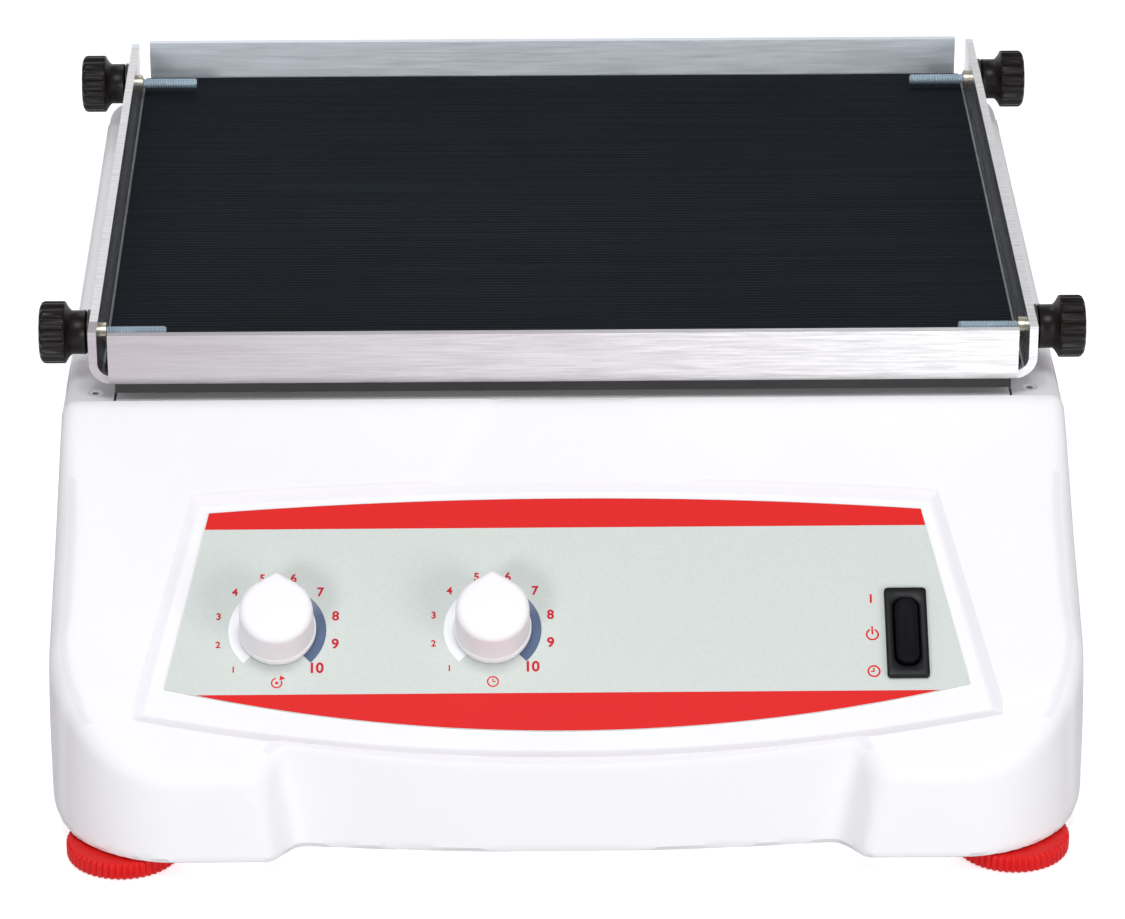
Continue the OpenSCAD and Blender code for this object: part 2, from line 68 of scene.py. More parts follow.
# section of the floor sheet, (y, z): flat, then a slow upward curl at the back
FLOOR_SECTION = ((-2.2, 0), (-0.8, 0), (0.8, 0), (1.6, 0), (2.1, 0.04), (2.5, 0.2),
                 (2.75, 0.5), (2.85, 1.0), (2.88, 1.8))
FLOOR_HALF_W, FLOOR_COLUMNS = 2.6, 9
FLOOR_GLOW = 0.56


def look_from(obj, place, target):
    """Puts an object at a place, its -Z axis towards the target."""
    obj.location = place
    obj.rotation_euler = (Vector(target) - Vector(place)).to_track_quat("-Z", "Y").to_euler()


def make_camera():
    data = bpy.data.cameras.new("camera")
    data.lens = LENS
    data.sensor_width = SENSOR
    data.clip_start, data.clip_end = 0.05, 20
    cam = bpy.data.objects.new("camera", data)
    SCENE.collection.objects.link(cam)
    level = math.cos(CAMERA_PITCH)
    ahead = Vector((math.sin(CAMERA_YAW) * level, math.cos(CAMERA_YAW) * level,
                    -math.sin(CAMERA_PITCH)))
    look_from(cam, CAMERA_AT, CAMERA_AT + ahead)
    SCENE.camera = cam


def area_light(name, place, target, size, watts, colour):
    data = bpy.data.lights.new(name, "AREA")
    data.shape = "RECTANGLE"
    data.size, data.size_y = size
    data.energy = watts
    data.color = colour
    lamp = bpy.data.objects.new(name, data)
    SCENE.collection.objects.link(lamp)
    look_from(lamp, place, target)


def make_light():
    SCENE.view_settings.view_transform = "Standard"
    SCENE.view_settings.look = "None"
    world = bpy.data.worlds.new("studio")
    SCENE.world = world
    world.use_nodes = True
    sky = world.node_tree.nodes["Background"].inputs
    sky["Color"].default_value = WORLD_TINT
    sky["Strength"].default_value = WORLD_STRENGTH
    for light in LIGHTS:
        area_light(*light)


def make_floor():
    bm = bmesh.new()
    xs = np.linspace(-FLOOR_HALF_W, FLOOR_HALF_W, FLOOR_COLUMNS)
    sheet(bm, [[(x, y, z) for x in xs] for y, z in FLOOR_SECTION])
    floor = mesh_object("floor", bm)
    smooth(floor)
    floor.data.materials.append(FLOOR)
    # the glowing sheet does not light the case from below
    floor.visible_diffuse = False


# ---------------------------------------------------------------- mesh helpers

def mesh_object(name, bm):
    mesh = bpy.data.meshes.new(name)
    bmesh.ops.recalc_face_normals(bm, faces=bm.faces)
    bm.to_mesh(mesh)
    bm.free()
    obj = bpy.data.objects.new(name, mesh)
    SCENE.collection.objects.link(obj)
    return obj


def from_arrays(name, verts, faces):
    """Mesh object from vertices in millimetres."""
    mesh = bpy.data.meshes.new(name)
    mesh.from_pydata((np.asarray(verts, float) * MM).tolist(), [], faces)
    mesh.update()
    obj = bpy.data.objects.new(name, mesh)
    SCENE.collection.objects.link(obj)
    return obj


def sheet(bm, rows):
    """Quads between rows of equally many points; gives the rows of vertices."""
    grid = [[bm.verts.new(p) for p in row] for row in rows]
    for a, b in zip(grid, grid[1:]):
        for i in range(len(a) - 1):
            bm.faces.new((a[i], a[i + 1], b[i + 1], b[i]))
    return grid


def smooth(obj, angle=35):
    """Smooth shading, with edges sharper than the angle kept sharp."""
    obj.data.polygons.foreach_set("use_smooth", [True] * len(obj.data.polygons))
    obj.data.set_sharp_from_angle(angle=math.radians(angle))
    obj.data.update()


def finish_piece(obj, body, material, replaces=(), angle=35):
    smooth(obj, angle)
    obj.data.materials.clear()
    obj.data.materials.append(material)
    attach(obj, body)
    if replaces:
        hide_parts(*replaces)
    return obj


def from_rings(name, rings, loop=False):
    """Skin over rings of equally many points, capped, or looped back to the first ring."""
    n, m = len(rings[0]), len(rings)
    verts = [p for ring in rings for p in ring]
    faces = []
    for k in range(m if loop else m - 1):
        up = (k + 1) % m
        for i in range(n):
            j = (i + 1) % n
            faces.append((k * n + i, k * n + j, up * n + j, up * n + i))
    if not loop:
        faces.append(tuple(reversed(range(n))))
        faces.append(tuple((m - 1) * n + i for i in range(n)))
    return from_arrays(name, verts, faces)


def turn_angles(n):
    return np.linspace(0, 2 * math.pi, n, endpoint=False)


def lathe(profile, n, radius_at):
    """Rings round Z of a profile of (r, z) points, shaped by radius_at(r, z, angle)."""
    rings = []
    for r, z in profile:
        ring = []
        for a in turn_angles(n):
            q = radius_at(r, z, a)
            ring.append((q * math.cos(a), q * math.sin(a), z))
        rings.append(ring)
    return rings


def placed(obj, matrix):
    obj.data.transform(matrix)
    obj.data.update()
    return obj


# ---------------------------------------------------------------- material nodes

class Mat:
    """A small builder of node materials on the Principled shader."""

    def __init__(self, name, colour, rough, metal=0.0, spec=0.5):
        self.mat = bpy.data.materials.new(name)
        self.mat.use_nodes = True
        self.tree = self.mat.node_tree
        self.bsdf = self.tree.nodes["Principled BSDF"]
        self.bsdf.inputs["Base Color"].default_value = (*colour, 1)
        self.bsdf.inputs["Roughness"].default_value = rough
        self.bsdf.inputs["Metallic"].default_value = metal
        self.bsdf.inputs["Specular IOR Level"].default_value = spec
        self.coords = self.node("ShaderNodeTexCoord").outputs["Object"]

    def node(self, kind, **inputs):
        n = self.tree.nodes.new(kind)
        for key, value in inputs.items():
            self.put(n.inputs[key.replace("_", " ")], value)
        return n

    def put(self, socket, value):
        if isinstance(value, bpy.types.NodeSocket):
            self.tree.links.new(value, socket)
        else:
            socket.default_value = value

    def math(self, kind, a, b=0.0):
        n = self.tree.nodes.new("ShaderNodeMath")
        n.operation = kind
        self.put(n.inputs[0], a)
        self.put(n.inputs[1], b)
        return n.outputs[0]

    def product(self, *values):
        out = values[0]
        for value in values[1:]:
            out = self.math("MULTIPLY", out, value)
        return out

    def stretch(self, scale):
        """Object coordinates scaled per axis, for grain that runs along one of them."""
        return self.node("ShaderNodeMapping", Scale=scale, Vector=self.coords).outputs[0]

    def noise(self, scale, detail, rough, coords=None):
        n = self.node("ShaderNodeTexNoise", Scale=scale, Detail=detail, Roughness=rough)
        self.put(n.inputs["Vector"], self.coords if coords is None else coords)
        return n.outputs["Fac"]

    def xyz(self, vector):
        return self.node("ShaderNodeSeparateXYZ", Vector=vector).outputs

    def ramp(self, fac, stops):
        """Colour ramp; stops are (position, colour or grey)."""
        n = self.node("ShaderNodeValToRGB")
        self.put(n.inputs["Fac"], fac)
        band = n.color_ramp
        while len(band.elements) < len(stops):
            band.elements.new(0.5)
        for e, (pos, col) in zip(band.elements, stops):
            e.position = pos
            e.color = (col, col, col, 1) if isinstance(col, (int, float)) else (*col, 1)
        return n.outputs["Color"]

    def mix(self, fac, a, b):
        n = self.tree.nodes.new("ShaderNodeMix")
        n.data_type = "RGBA"
        self.put(n.inputs[0], fac)
        self.put(n.inputs[6], (*a, 1) if isinstance(a, tuple) else a)
        self.put(n.inputs[7], (*b, 1) if isinstance(b, tuple) else b)
        return n.outputs[2]

    def colour(self, socket):
        self.put(self.bsdf.inputs["Base Color"], socket)

    def roughness(self, socket):
        self.put(self.bsdf.inputs["Roughness"], socket)

    def bump(self, height, distance, strength):
        n = self.node("ShaderNodeBump", Distance=distance, Strength=strength, Height=height)
        self.put(self.bsdf.inputs["Normal"], n.outputs["Normal"])

    def span(self, fac, low, high, out_low, out_high):
        """Maps low..high linearly to out_low..out_high, without passing them."""
        n = self.node("ShaderNodeMapRange")
        for key, v in zip(("Value", "From Min", "From Max", "To Min", "To Max"),
                          (fac, low, high, out_low, out_high)):
            self.put(n.inputs[key], v)
        return n.outputs["Result"]


def moulded(name, colour, rough=0.45, grain=2600, depth=0.00003, spec=0.4, tint=0.03):
    """Moulded plastic with a fine spark-eroded grain and faint flow clouding."""
    m = Mat(name, colour, rough, spec=spec)
    fine = m.noise(grain, 3, 0.6)
    broad = m.noise(22, 3, 0.5)
    dark = tuple(c * (1 - tint) for c in colour)
    m.colour(m.mix(m.span(broad, 0.35, 0.65, 0, 1), dark, colour))
    m.roughness(m.span(m.noise(140, 4, 0.6), 0.3, 0.7, rough * 0.88, min(1, rough * 1.12)))
    m.bump(fine, depth, 0.6)
    return m


def case_plastic_with_painted_shade():
    """Moulded case, with painted shade: the steps round the panel are tinted darker than the broad
    faces.
    """
    m = moulded("case_white", (0.845, 0.835, 0.86), 0.6, 1300, 0.00009, 0.12, 0.015)
    toward = m.tree.nodes.new("ShaderNodeVectorMath")
    toward.operation = "DOT_PRODUCT"
    m.put(toward.inputs[0], m.node("ShaderNodeNewGeometry").outputs["Normal"])
    toward.inputs[1].default_value = (0, -math.sin(TILT), math.cos(TILT))
    # painted shade mask: faces that turn a little away from the slope's normal
    band = m.ramp(toward.outputs["Value"], [(0.84, 0), (0.89, 1), (0.955, 1), (0.985, 0)])
    # the painted shade lies only inside the panel, whose lower edge is bowed; metres down the slope
    place = m.xyz(m.coords)
    across = m.math("DIVIDE", place["X"], PANEL_HALF)
    bow = m.product(across, across, FRAME_EDGE[5] * MM)
    down = m.math("DIVIDE", m.math("SUBTRACT", SLOPE_Y * MM, place["Y"]), math.cos(TILT))
    inside = m.math("LESS_THAN", m.math("ADD", down, bow), PANEL_LOW)
    inside = m.product(inside, m.math("GREATER_THAN", down, PANEL_HIGH))
    base = m.bsdf.inputs["Base Color"].links[0].from_socket
    # painted shade: those faces are mixed towards a lavender grey
    m.colour(m.mix(m.product(band, inside, 0.6), base, (0.76, 0.73, 0.79)))
    return m


def brushed(name, colour, rough, along, fine=900, depth=0.000012, metal=1.0, wear=0.12):
    """Brushed or turned metal, its scratches drawn out along one axis."""
    m = Mat(name, colour, rough, metal)
    scale = [fine, fine, fine]
    scale[along] = fine / 60
    streak = m.noise(1.0, 3, 0.6, m.stretch(scale))
    coarse = m.noise(1.0, 2, 0.5, m.stretch([s / 7 for s in scale]))
    both = m.math("ADD", m.product(streak, 0.65), m.product(coarse, 0.35))
    dark = tuple(c * (1 - wear) for c in colour)
    m.colour(m.mix(m.span(both, 0.38, 0.62, 0, 1), dark, colour))
    m.roughness(m.span(both, 0.35, 0.65, rough * 0.8, rough * 1.25))
    m.bump(both, depth, 0.8)
    return m


def cast(name, colour, rough, grain=500, depth=0.00008, metal=0.0):
    """Painted or cast surface with an orange-peel texture."""
    m = Mat(name, colour, rough, metal)
    peel = m.noise(grain, 2, 0.55)
    broad = m.noise(30, 4, 0.6)
    m.colour(m.mix(m.span(broad, 0.3, 0.7, 0, 1), tuple(c * 0.9 for c in colour), colour))
    m.roughness(m.span(broad, 0.3, 0.7, rough * 0.85, min(1, rough * 1.15)))
    m.bump(peel, depth, 0.7)
    return m


def tray_metal():
    """Sheet aluminium: the rolling lines follow each face's own length; some walls carry painted
    shade and painted reflections.
    """
    m = Mat("tray_aluminium", (0.80, 0.80, 0.81), 0.45, 0.78)
    facing = m.xyz(m.node("ShaderNodeNewGeometry").outputs["Normal"])
    place = m.xyz(m.coords)
    side = m.math("GREATER_THAN", m.math("ABSOLUTE", facing["X"]), 0.7)
    across = m.noise(1.0, 5, 0.7, m.stretch((55, 1300, 1300)))
    along = m.noise(1.0, 5, 0.7, m.stretch((1300, 55, 1300)))
    lines = m.math("ADD", m.product(across, m.math("SUBTRACT", 1.0, side)),
                   m.product(along, side))
    broad = m.noise(1.0, 3, 0.6, m.stretch((14, 90, 160)))
    speck = m.math("GREATER_THAN", m.noise(1400, 2, 0.6), 0.68)
    grey = m.mix(m.span(lines, 0.36, 0.64, 0, 1), (0.62, 0.62, 0.63), (0.96, 0.96, 0.97))
    grey = m.mix(m.product(speck, 0.12), grey, (0.45, 0.45, 0.46))
    # painted shade and painted reflection: the front wall is painted darker towards the left, the
    # rear one a bright bluish tint
    front = m.math("LESS_THAN", place["Y"], -0.07)
    rear = m.math("GREATER_THAN", place["Y"], 0.195)
    # painted shade: the front wall darkens towards its left end
    painted_shade_left = m.product(m.span(place["X"], -0.17, 0.17, 0.84, 0.05), front)
    grey = m.mix(painted_shade_left, grey, (0.33, 0.29, 0.32))
    # painted reflection: the rear wall is mixed towards a bright bluish grey
    grey = m.mix(m.product(rear, 0.8), grey, (0.86, 0.93, 1.0))
    # painted reflection: the side walls' inner faces are painted dark blue-grey, as if mirroring the
    # dark mat
    inner = m.product(side, m.math("LESS_THAN", m.product(facing["X"], place["X"]), 0.0))
    grey = m.mix(m.product(inner, 0.6), grey, (0.13, 0.16, 0.21))
    m.colour(m.mix(m.span(broad, 0.3, 0.7, 0, 0.15), grey, (0.70, 0.71, 0.73)))
    rough = m.span(lines, 0.3, 0.7, 0.45, 0.62)
    m.roughness(m.math("SUBTRACT", rough, m.product(inner, 0.32)))
    m.bump(lines, 0.00002, 0.8)
    return m


def rubber(name, colour, rough=0.7, grain=900, depth=0.00005):
    m = Mat(name, colour, rough, spec=0.35)
    dust = m.noise(60, 5, 0.65)
    fine = m.noise(grain, 3, 0.6)
    m.colour(m.mix(m.span(dust, 0.45, 0.75, 0, 0.35), colour,
                   tuple(min(1, c * 1.6 + 0.012) for c in colour)))
    m.roughness(m.span(dust, 0.3, 0.7, rough * 0.85, min(1, rough * 1.15)))
    m.bump(fine, depth, 0.7)
    return m


def mat_surface():
    """Ribbed rubber: navy black, with faint lengthwise streaks where ribs have worn."""
    colour = (0.0030, 0.0056, 0.0092)
    m = Mat("mat_rubber", colour, 0.6, spec=0.12)
    streak = m.noise(1.0, 4, 0.6, m.stretch((6, 420, 60)))
    broad = m.noise(9, 3, 0.55)
    fine = m.noise(1500, 2, 0.6)
    base = m.mix(m.span(streak, 0.4, 0.68, 0, 1), colour, (0.0100, 0.0150, 0.0220))
    m.colour(m.mix(m.span(broad, 0.4, 0.7, 0, 0.3), base, (0.0020, 0.0036, 0.0060)))
    m.roughness(m.span(streak, 0.3, 0.7, 0.52, 0.7))
    m.bump(fine, 0.00003, 0.6)
    return m


def printed(name, colour, rough=0.42, spec=0.3):
    """Screen-printed ink with a faint mottle."""
    m = Mat(name, colour, rough, spec=spec)
    mottle = m.noise(900, 3, 0.6)
    m.colour(m.mix(m.span(mottle, 0.3, 0.7, 0, 1), tuple(c * 0.93 for c in colour), colour))
    m.roughness(m.span(mottle, 0.3, 0.7, rough * 0.9, rough * 1.1))
    m.bump(mottle, 0.000006, 0.5)
    return m


def dial_band_ink(name, centre, colour_low, colour_high):
    """Ink of a dial's arc, which runs from one colour to another round the dial's centre."""
    m = Mat(name, colour_high, 0.45, spec=0.3)
    place = m.xyz(m.coords)
    x = m.math("SUBTRACT", place["X"], centre.x)
    y = m.math("DIVIDE", m.math("SUBTRACT", place["Y"], centre.y), math.cos(TILT))
    turn = m.math("ARCTAN2", x, y)
    m.colour(m.mix(m.span(turn, -1.2, 1.2, 0, 1), colour_low, colour_high))
    m.bump(m.noise(900, 3, 0.6), 0.000006, 0.5)
    return m


def floor_paper():
    m = Mat("floor_paper", (0.90, 0.90, 0.91), 0.9, spec=0.1)
    m.bsdf.inputs["Emission Color"].default_value = (1, 1, 1, 1)
    m.bsdf.inputs["Emission Strength"].default_value = FLOOR_GLOW
    fibre = m.noise(40, 4, 0.6)
    m.colour(m.mix(m.span(fibre, 0.3, 0.7, 0, 1), (0.895, 0.895, 0.905), (0.905, 0.905, 0.915)))
    m.bump(fibre, 0.00005, 0.3)
    return m


# ---------------------------------------------------------------- case skin

SHELL_LO, SHELL_HI = (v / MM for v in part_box("housing_shell"))
DECK_LO, DECK_HI = (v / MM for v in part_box("deck_panel"))
HALF_W, DEPTH, BASE_Z = SHELL_HI.x, SHELL_HI.y, SHELL_LO.z
TOP_Z, SLOPE_Y, TILT = DECK_HI.z, DECK_LO.y - 1.4, math.radians(35.8)
RECESS, SHEET_T, INK_T = 1.6, 0.5, 0.05
DIAL_X, DIAL_S, SWITCH = (-100.5, -25.8), 90.1, (118.0, -93.0)
# half widths at the top and bottom, how far down the slope these are, and the bows there
FRAME_EDGE = (130.8, 150.4, 38, 124.8, 5.2, 15.6)
SHEET_EDGE = (125.2, 139.3, 43.8, 112.4, 5, 17)
# where the painted shade of the steps round the panel lies on the slope, in metres
PANEL_HALF, PANEL_HIGH, PANEL_LOW = 0.150, 0.03, 0.1441
# the side walls are widest at the waist; run and rise of their leaning faces
WAIST_Z, SIDE_ABOVE, SIDE_BELOW = 42, (76, 2.4), (26, -1.2)
FRONT_LEAN, FRONT_CORNER, REAR_CORNER = math.radians(12.5), 46, 22
# the fascia between the corner blocks, bowed in plan
FASCIA_Y, FASCIA_LEAN, FASCIA_R = -201, math.radians(9.6), 790
BLOCK_X, BLOCK_GROWS, BLOCK_FACE = 115, 6.5, (23, 18.5)
# the rounded union in case_field pushes the form out; the rear face allows for it
SWELL = 0.75
# the cutter of the panel recess: outset and depth, rolled over its upper edge
RECESS_SECTION = ((-1.5, 6), (-1.5, 0.73), (-1.05, 0.64), (-0.6, 0.47), (-0.2, 0.25),
                  (0.25, 0), (0.7, -0.26), (1.6, -0.72), (2.5, -1.14), (3.2, -1.42),
                  (3.8, -1.56), (4.5, -1.6))
INLET_X, INLET_Z = 110, 45
SLOTS, SLOT_X, SLOT_PITCH, SLOT_W = 10, -140, 9, 3.5


def step(x, lo, hi):
    t = np.clip((x - lo) / (hi - lo), 0, 1)
    return t * t * (3 - 2 * t)


def round_max(a, b, r):
    """Intersection of two solids whose common edge is rounded."""
    u, v = np.maximum(a + r, 0), np.maximum(b + r, 0)
    return np.minimum(np.maximum(a, b), -r) + np.sqrt(u * u + v * v)


def round_min(a, b, r):
    """Union of two solids whose common edge is filled."""
    return -round_max(-a, -b, r)


def slant(a, b, run, rise):
    """Distance to a plane that leans by rise over run."""
    return (a * run + b * rise) / math.hypot(run, rise)


def corner_box(x, y, half, r):
    """Distance to a plan corner: |x| reaches half, y reaches 0, corner radius r.

    Also says how much of the surface there faces along y, from 0 to 1.
    """
    qx, qy = np.abs(x) - (half - r), y + r
    gx, gy = np.maximum(qx, 0), np.maximum(qy, 0)
    out = np.sqrt(gx * gx + gy * gy)
    return out + np.minimum(np.maximum(qx, qy), 0) - r, gy / np.maximum(out, 1e-6)


def case_field(p, cavity=False):
    """Distance, below 0 inside, of the case form with its edges rounded. Millimetres."""
    x, y, z = p[:, 0], p[:, 1], p[:, 2]
    ax = np.abs(x)
    side = round_max(slant(ax - HALF_W, z - WAIST_Z, *SIDE_ABOVE),
                     slant(ax - HALF_W, z - WAIST_Z, *SIDE_BELOW), 0.4)
    up = z - BASE_Z
    front_y = (y + DEPTH - 0.3) * math.cos(FRONT_LEAN) - up * math.sin(FRONT_LEAN)
    front, facing = corner_box(x, -front_y, HALF_W + 0.3, FRONT_CORNER)
    rear, _ = corner_box(x, y - DEPTH + SWELL, HALF_W + 0.3, REAR_CORNER)
    wall = round_max(round_max(side, front, 0.6), rear, 0.6)
    slope = -(y - SLOPE_Y) * math.sin(TILT) + (z - TOP_Z) * math.cos(TILT)
    lid = slope if cavity else round_max(z - TOP_Z, slope, 1.0)
    edge = (5 + 4.5 * step(-y, 84, 120)) * (1 - 0.7466 * facing)
    body = round_max(wall, lid, edge)
    # behind the fascia plane, or within a corner block that grows towards its foot
    fy = (y - FASCIA_Y) * math.cos(FASCIA_LEAN) - up * math.sin(FASCIA_LEAN)
    low = np.clip((38 - z) / 31, 0, 1)
    inner = slant(ax - BLOCK_X + BLOCK_GROWS * low, fy + 14, *BLOCK_FACE)
    bow = FASCIA_R - np.sqrt(x * x + (fy - FASCIA_R) ** 2)
    block = round_max(body, -inner, 2.2 + 2.6 * step(z, 22, 38))
    middle = round_max(body, -bow, 2.0)
    form = round_min(block, middle, 2.4)
    if cavity:
        return np.maximum(np.maximum(form + 3.5, z - TOP_Z - 8), -z)
    return round_max(form, -up, 2.0 + 6.5 * step(ax, 171, 179))


def surface_nets(field, lo, hi, h):
    """Closed quad mesh of the zero level of a field, its points drawn onto the surface."""
    axes = [np.arange(a, b + h, h) for a, b in zip(lo, hi)]
    shape = tuple(len(a) for a in axes)
    yz = np.stack(np.meshgrid(axes[1], axes[2], indexing="ij"), -1).reshape(-1, 2)
    value = np.empty(shape)
    for i, x in enumerate(axes[0]):
        slab = np.column_stack([np.full(len(yz), x), yz])
        value[i] = field(slab).reshape(shape[1:])
    inside = value < 0
    total = np.zeros(shape + (3,))
    count = np.zeros(shape)
    crossings = []
    for axis in range(3):
        a = tuple(slice(0, -1) if k == axis else slice(None) for k in range(3))
        b = tuple(slice(1, None) if k == axis else slice(None) for k in range(3))
        where = np.argwhere(inside[a] != inside[b])
        at, to = tuple(where.T), where.copy()
        to[:, axis] += 1
        to = tuple(to.T)
        t = value[at] / (value[at] - value[to])
        point = where.astype(float)
        point[:, axis] += t
        u, v = [k for k in range(3) if k != axis]
        corners = []
        for du, dv in ((-1, -1), (0, -1), (0, 0), (-1, 0)):
            cell = where.copy()
            cell[:, u] += du
            cell[:, v] += dv
            np.add.at(total, tuple(cell.T), point)
            np.add.at(count, tuple(cell.T), 1)
            corners.append(np.ravel_multi_index(tuple(cell.T), shape))
        quad = np.column_stack(corners)
        flip = inside[at] if axis != 1 else ~inside[at]
        quad[~flip] = quad[~flip][:, ::-1]
        crossings.append(quad)
    used = np.flatnonzero(count.ravel())
    index = np.full(count.size, -1)
    index[used] = np.arange(len(used))
    points = total.reshape(-1, 3)[used] / count.ravel()[used][:, None]
    points = np.array(lo) + points * h
    # a few Newton steps along the gradient
    for _ in range(4):
        grad = np.stack([(field(points + d) - field(points - d)) / 0.1
                         for d in np.eye(3) * 0.05], -1)
        size = np.maximum((grad ** 2).sum(1), 0.25)
        points -= np.clip(field(points) / size, -h / 2, h / 2)[:, None] * grad
    return points, index[np.vstack(crossings)]


def carve(obj, *cutters):
    """Cuts closed meshes out of a closed mesh."""
    for cutter in cutters:
        cut = obj.modifiers.new("cut", "BOOLEAN")
        cut.operation = "DIFFERENCE"
        cut.solver = "MANIFOLD"
        cut.object = cutter
        bpy.context.view_layer.update()
        seen = obj.evaluated_get(bpy.context.evaluated_depsgraph_get())
        mesh = bpy.data.meshes.new_from_object(seen)
        obj.modifiers.clear()
        obj.data = mesh
        bpy.data.objects.remove(cutter)
    return obj


def boxes(name, *corner_pairs):
    """One mesh of separate boxes, from (lowest, highest) corners in millimetres."""
    bm = bmesh.new()
    for lo, hi in corner_pairs:
        lo, hi = Vector(lo) * MM, Vector(hi) * MM
        bmesh.ops.create_cube(bm, size=1, matrix=Matrix.Translation((lo + hi) / 2)
                              @ Matrix.Diagonal((*(hi - lo), 1)))
    return mesh_object(name, bm)


def on_slope():
    return (Matrix.Translation((0, SLOPE_Y * MM, TOP_Z * MM))
            @ Matrix.Rotation(TILT, 4, "X"))


def on_slope_mm(x, y, z=0.0):
    return on_slope() @ Matrix.Translation((x * MM, y * MM, z * MM))


def panel_outline(edge, inset=0.0, n=56, top=None, bottom=None):
    """Outline of the panel, moved inwards by inset. top and bottom may cut it off level."""
    wt, wb, st, sb, ct, cb = edge
    rt, rb = (wt * wt + ct * ct) / (2 * ct), (wb * wb + cb * cb) / (2 * cb)
    yt, yb = -st + ct - rt, -sb - cb + rb
    rt, rb = rt - inset, rb - inset
    k = (wb - wt) / (sb - st)
    drop = inset * math.hypot(1, k)

    def half_at(y):
        return wt + k * (-y - st) - drop

    def meet(yc, r, y):
        for _ in range(30):
            y = yc + math.copysign(math.sqrt(max(r * r - half_at(y) ** 2, 0)), y - yc)
        return y

    y_top = meet(yt, rt, -st) if top is None else top
    y_bot = meet(yb, rb, -sb) if bottom is None else bottom
    if top is None:
        w = half_at(y_top)
        up = [(x, yt + math.sqrt(rt * rt - x * x)) for x in np.linspace(w, -w, n)]
    else:
        w = min(half_at(top), math.sqrt(max(rb * rb - (yb - top) ** 2, 0)))
        up = [(x, top) for x in np.linspace(w, -w, n)]
    if bottom is None:
        w = min(half_at(y_bot), w if top is not None and w < half_at(top) - 1e-9 else 1e9)
        down = [(x, yb - math.sqrt(rb * rb - x * x)) for x in np.linspace(-w, w, n)]
    else:
        w = half_at(bottom)
        down = [(x, bottom) for x in np.linspace(-w, w, n)]
    return up + down


def behind(x, z, half_x, half_z, y0, y1=DEPTH + 4):
    """Corners of a box in the rear wall, round (x, z)."""
    return (x - half_x, y0, z - half_z), (x + half_x, y1, z + half_z)


def through(x, y, half_x, half_y):
    """Corners of a box through the sloped wall, in slope millimetres."""
    return (x - half_x, y - half_y, -12), (x + half_x, y + half_y, 3)


def make_case():
    points, quads = surface_nets(
        case_field, (-HALF_W - 3, -DEPTH - 3, BASE_Z - 3), (HALF_W + 3, DEPTH + 3, TOP_Z + 3),
        2.0)
    skin = from_arrays("case_skin", points, quads.tolist())
    points, quads = surface_nets(
        lambda p: case_field(p, True), (-HALF_W - 5, -DEPTH - 5, -7),
        (HALF_W + 5, DEPTH + 5, TOP_Z + 16), 5.0)
    hollow = from_arrays("hollow", points, quads.tolist())
    rings = [[(x, y, z) for x, y in panel_outline(FRAME_EDGE, o)] for o, z in RECESS_SECTION]
    recess = placed(from_rings("recess", rings), on_slope())
    recess.data.flip_normals()
    seat = boxes("seat", ((-200, SLOPE_Y + 0.9, TOP_Z - 5.7), (200, 240, TOP_Z + 20)),
                 behind(INLET_X, INLET_Z, 26.2, 16.2, DEPTH - 2.1),
                 *[behind(SLOT_X + SLOT_PITCH * i + SLOT_W / 2, 55, SLOT_W / 2, 20, DEPTH - 10)
                   for i in range(SLOTS)])
    opening = boxes("opening", behind(INLET_X, INLET_Z, 15, 14.2, DEPTH - 12))
    holes = placed(boxes("holes", *[through(x, -DIAL_S, 4.8, 4.8) for x in DIAL_X],
                         through(*SWITCH, 6.3, 15.3)), on_slope())
    carve(skin, hollow, seat, opening, recess, holes)
    finish_piece(skin, "case", CASE_WHITE, ["housing_shell"], angle=28)


# ---------------------------------------------------------------- panel print

BAND_TOP_Y, BAND_BOTTOM_Y = -50.4, -114.8
DIAL_BAND = (13.2, 17.0, -137, 137, 72)
MARK_Y, SWITCH_MARK_X = -110.3, SWITCH[0] - 11.9
NUMERAL_HALF_T = 0.03
PRINT_Z = -RECESS + SHEET_T


def print_layer(name, loops, material):
    """Thin layer of ink on the overlay: closed loops in slope millimetres."""
    bm = bmesh.new()
    for loop in loops:
        low = [bm.verts.new((x * MM, y * MM, PRINT_Z * MM)) for x, y in loop]
        high = [bm.verts.new((x * MM, y * MM, (PRINT_Z + INK_T) * MM)) for x, y in loop]
        bm.faces.new(list(reversed(low)))
        bm.faces.new(high)
        n = len(loop)
        for i in range(n):
            j = (i + 1) % n
            bm.faces.new((low[i], low[j], high[j], high[i]))
    obj = placed(mesh_object(name, bm), on_slope())
    return finish_piece(obj, "case", material)


def arc_band(cx, cy, r0, r1, a0, a1, n=48):
    """Part ring; angles in degrees clockwise from up."""
    def at(r, a):
        return (cx + r * math.sin(math.radians(a)), cy + r * math.cos(math.radians(a)))
    angles = np.linspace(a0, a1, n)
    return [at(r1, a) for a in angles] + [at(r0, a) for a in reversed(angles)]


def ring_pair(cx, cy, r0, r1):
    """A full ring, as two halves."""
    return [arc_band(cx, cy, r0, r1, 0, 180, 24), arc_band(cx, cy, r0, r1, 180, 360, 24)]


def bar(cx, cy, w, h):
    return [(cx + x * w / 2, cy + y * h / 2) for x, y in ((-1, -1), (1, -1), (1, 1), (-1, 1))]


def numeral(text, x, y, size):
    """Mesh of a dial's number, centred at a place on the slope."""
    curve = bpy.data.curves.new("numeral_" + text, "FONT")
    curve.body = text
    curve.size = size * MM
    curve.align_x = curve.align_y = "CENTER"
    curve.offset = size * MM * 0.03
    curve.extrude = NUMERAL_HALF_T * MM
    curve.resolution_u = 6
    obj = bpy.data.objects.new("numeral", curve)
    SCENE.collection.objects.link(obj)
    bpy.context.view_layer.update()
    seen = obj.evaluated_get(bpy.context.evaluated_depsgraph_get())
    mesh = bpy.data.meshes.new_from_object(seen)
    bpy.data.objects.remove(obj)
    mesh.transform(on_slope_mm(x, y, PRINT_Z + NUMERAL_HALF_T))
    return mesh


